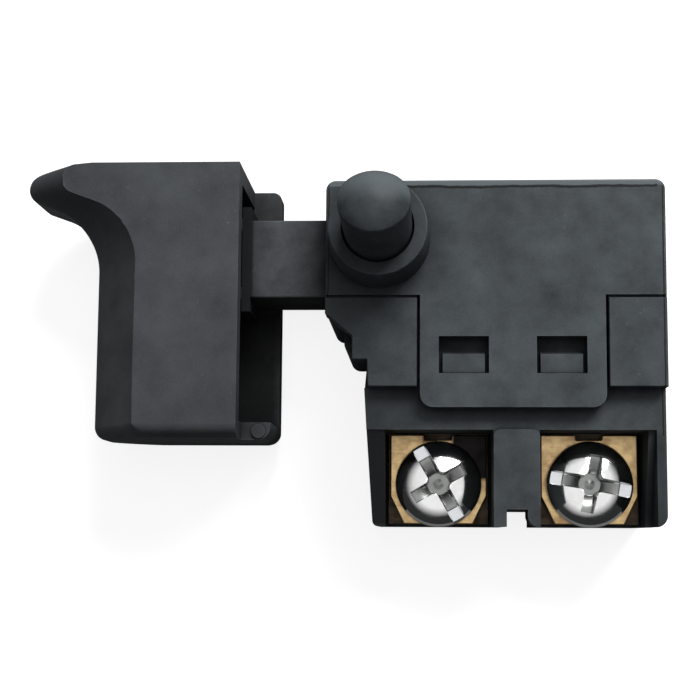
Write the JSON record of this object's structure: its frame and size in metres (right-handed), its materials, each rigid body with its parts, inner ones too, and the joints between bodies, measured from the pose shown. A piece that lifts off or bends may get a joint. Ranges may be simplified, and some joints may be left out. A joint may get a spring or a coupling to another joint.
{
  "type": "drill speed control switch",
  "caption": "Trigger switch for a hand drill: moulded case with sliding finger trigger, domed lock-on pin and screw terminals for the supply leads.",
  "frame": {"origin": "middle of the outline's box, on the flat rear face", "axes": "+X from the finger side to the far end of the case, +Y from the terminals to the top, +Z from the rear face to the lock button"},
  "size_m": [0.0653, 0.0366, 0.0282],
  "materials": {
    "case_plastic": "moulded charcoal nylon, faintly mottled satin",
    "trigger_plastic": "moulded charcoal nylon, smooth on the finger side",
    "button_plastic": "moulded charcoal nylon, satin",
    "plunger_plastic": "moulded charcoal acetal, satin",
    "brass": "stamped brass sheet",
    "screw_plate": "bright zinc-plated steel",
    "spring_steel": "drawn spring wire",
    "contact_copper": "copper alloy strip",
    "contact_silver": "silver alloy rivet",
    "board_laminate": "green lacquered laminate",
    "component_black": "moulded epoxy",
    "component_ceramic": "dipped ceramic",
    "resistor_coat": "lacquered resistor body",
    "diode_glass": "orange glass body"
  },
  "bodies": {
    "housing": {"upper_housing": "case_plastic", "lower_housing": "case_plastic", "left_terminal": "brass", "right_terminal": "brass", "fixed_contact": "contact_silver", "speed_board": "board_laminate", "triac": "component_black", "timing_capacitor": "component_ceramic", "resistors": "resistor_coat", "trigger_diode": "diode_glass", "return_spring": "spring_steel", "lock_button_spring": "spring_steel", "contact_spring": "spring_steel"},
    "trigger": {"trigger": "trigger_plastic", "plunger": "plunger_plastic", "wiper": "contact_copper"},
    "lock_button": {"lock_button": "button_plastic"},
    "contact_lever": {"contact_lever": "contact_copper", "moving_contact": "contact_silver"},
    "left_clamp": {"left_clamp": "brass"},
    "left_screw": {"left_screw": "screw_plate"},
    "right_clamp": {"right_clamp": "brass"},
    "right_screw": {"right_screw": "screw_plate"}
  },
  "joints": [
    {"name": "trigger_slide", "type": "slide", "parent": "housing", "child": "trigger", "axis": [1, 0, 0], "range_m": [0, 0.0055], "stiffness_N_per_m": 800, "springref_m": -0.006, "deforming": ["return_spring"]},
    {"name": "lock_button_press", "type": "slide", "parent": "housing", "child": "lock_button", "axis": [0, 0, -1], "range_m": [0, 0.003], "stiffness_N_per_m": 300, "springref_m": -0.003, "deforming": ["lock_button_spring"]},
    {"name": "contact_lever_swing", "type": "hinge", "parent": "housing", "child": "contact_lever", "pos_m": [0.00835, 0.0008, 0.0084], "axis": [0, 0, -1], "range_deg": [0, 7.1], "deforming": ["contact_spring"]},
    {"name": "left_clamp_slide", "type": "slide", "parent": "housing", "child": "left_clamp", "axis": [0, 0, 1], "range_m": [0, 0.0025]},
    {"name": "left_screw_turn", "type": "hinge", "parent": "left_clamp", "child": "left_screw", "pos_m": [0.01022, -0.01395, 0.0088], "axis": [0, 0, 1], "range_deg": [0, 1286]},
    {"name": "right_clamp_slide", "type": "slide", "parent": "housing", "child": "right_clamp", "axis": [0, 0, 1], "range_m": [0, 0.0025]},
    {"name": "right_screw_turn", "type": "hinge", "parent": "right_clamp", "child": "right_screw", "pos_m": [0.02558, -0.01395, 0.0088], "axis": [0, 0, 1], "range_deg": [0, 1286]}
  ],
  "couplings": [
    {"joint": "contact_lever_swing", "follows": "trigger_slide", "rad_per_m": 22.213},
    {"joint": "left_screw_turn", "follows": "left_clamp_slide", "rad_per_m": 8976},
    {"joint": "right_screw_turn", "follows": "right_clamp_slide", "rad_per_m": 8976}
  ]
}
